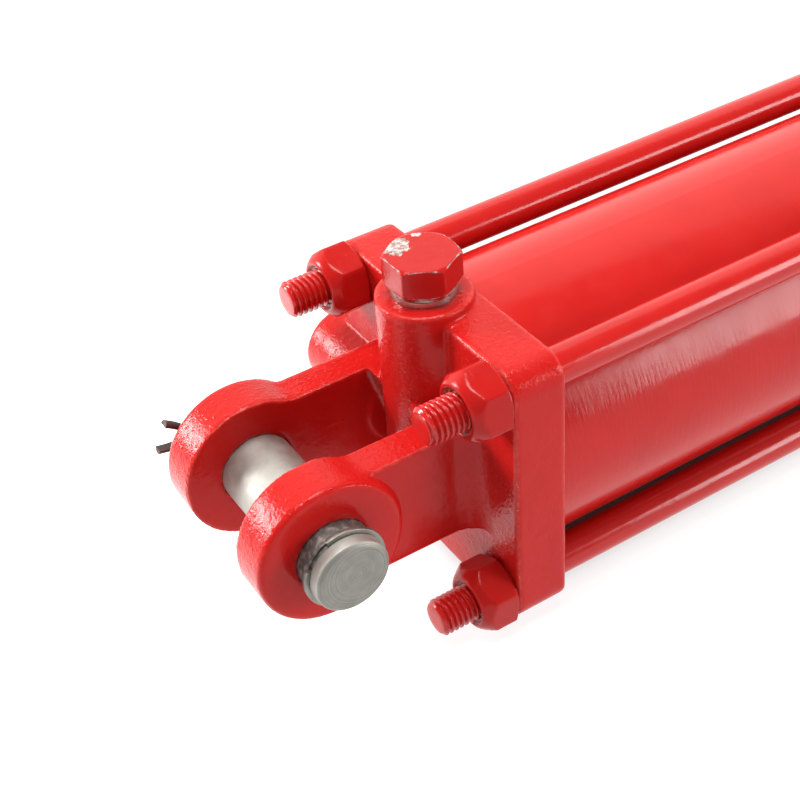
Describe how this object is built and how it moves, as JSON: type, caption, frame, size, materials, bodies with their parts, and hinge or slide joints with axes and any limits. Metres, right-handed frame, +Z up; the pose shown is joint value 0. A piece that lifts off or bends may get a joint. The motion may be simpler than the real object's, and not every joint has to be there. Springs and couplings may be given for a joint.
{
  "type": "tie-rod hydraulic cylinder",
  "caption": "Double-acting hydraulic cylinder: square end caps pulled onto a tube by tie rods, a sliding piston rod, and a pinned clevis at each end.",
  "frame": {"origin": "centre of the base clevis pin, midway between the two ears", "axes": "+X along the cylinder from the base pin to the rod pin, +Y along both clevis pins away from the snap rings, +Z up through the plugged ports; drawn retracted"},
  "size_m": [0.5651, 0.1128, 0.1223],
  "materials": {
    "cast_red": "glossy red enamel over a slightly rough casting",
    "tube_red": "glossy red enamel over a smooth tube",
    "hardware_red": "glossy red enamel over machined fasteners, chipped on edges",
    "washer_steel": "satin steel with red overspray",
    "pin_steel": "turned steel, oiled",
    "spring_steel": "satin spring steel",
    "cotter_steel": "dull dark steel",
    "rod_chrome": "hard chrome, ground and polished",
    "piston_iron": "turned cast iron",
    "bright_steel": "turned steel",
    "bearing_bronze": "turned bronze",
    "seal_rubber": "smooth nitrile rubber",
    "seal_urethane": "smooth polyurethane",
    "band_nylon": "filled nylon",
    "screw_black": "black oxide"
  },
  "bodies": {
    "barrel": {"base_cap": "cast_red", "head_cap": "cast_red", "barrel_tube": "tube_red", "base_tube_seal": "seal_rubber", "head_tube_seal": "seal_rubber", "base_port_plug": "hardware_red", "base_plug_washer": "washer_steel", "head_port_plug": "hardware_red", "head_plug_washer": "washer_steel", "rod_bearing": "bearing_bronze", "rod_seal": "seal_urethane", "rod_wiper": "seal_rubber", "tie_rod_1": "hardware_red", "base_nut_1": "hardware_red", "head_nut_1": "hardware_red", "tie_rod_2": "hardware_red", "base_nut_2": "hardware_red", "head_nut_2": "hardware_red", "tie_rod_3": "hardware_red", "base_nut_3": "hardware_red", "head_nut_3": "hardware_red", "tie_rod_4": "hardware_red", "base_nut_4": "hardware_red", "head_nut_4": "hardware_red"},
    "piston_seals": {"piston_seal": "seal_urethane", "piston_wear_band": "band_nylon"},
    "rod": {"piston": "piston_iron", "piston_static_ring": "seal_rubber", "rod_nut": "bright_steel", "piston_rod": "rod_chrome", "rod_clevis": "cast_red", "clevis_set_screw": "screw_black"},
    "base_pin_body": {"base_pin": "pin_steel", "base_pin_snap_ring": "spring_steel", "base_pin_cotter": "cotter_steel"},
    "rod_pin_body": {"rod_pin": "pin_steel", "rod_pin_snap_ring": "spring_steel", "rod_pin_cotter": "cotter_steel"}
  },
  "joints": [
    {"name": "rod_slide", "type": "slide", "parent": "barrel", "child": "piston_seals", "axis": [1, 0, 0], "range_m": [0, 0.2032]},
    {"name": "rod_turn", "type": "hinge", "parent": "piston_seals", "child": "rod", "pos_m": [0.1, 0, 0], "axis": [1, 0, 0], "continuous": true},
    {"name": "base_pin_turn", "type": "hinge", "parent": "barrel", "child": "base_pin_body", "pos_m": [0, 0, 0], "axis": [0, 1, 0], "continuous": true},
    {"name": "rod_pin_turn", "type": "hinge", "parent": "rod", "child": "rod_pin_body", "pos_m": [0.51435, 0, 0], "axis": [0, 1, 0], "continuous": true}
  ]
}
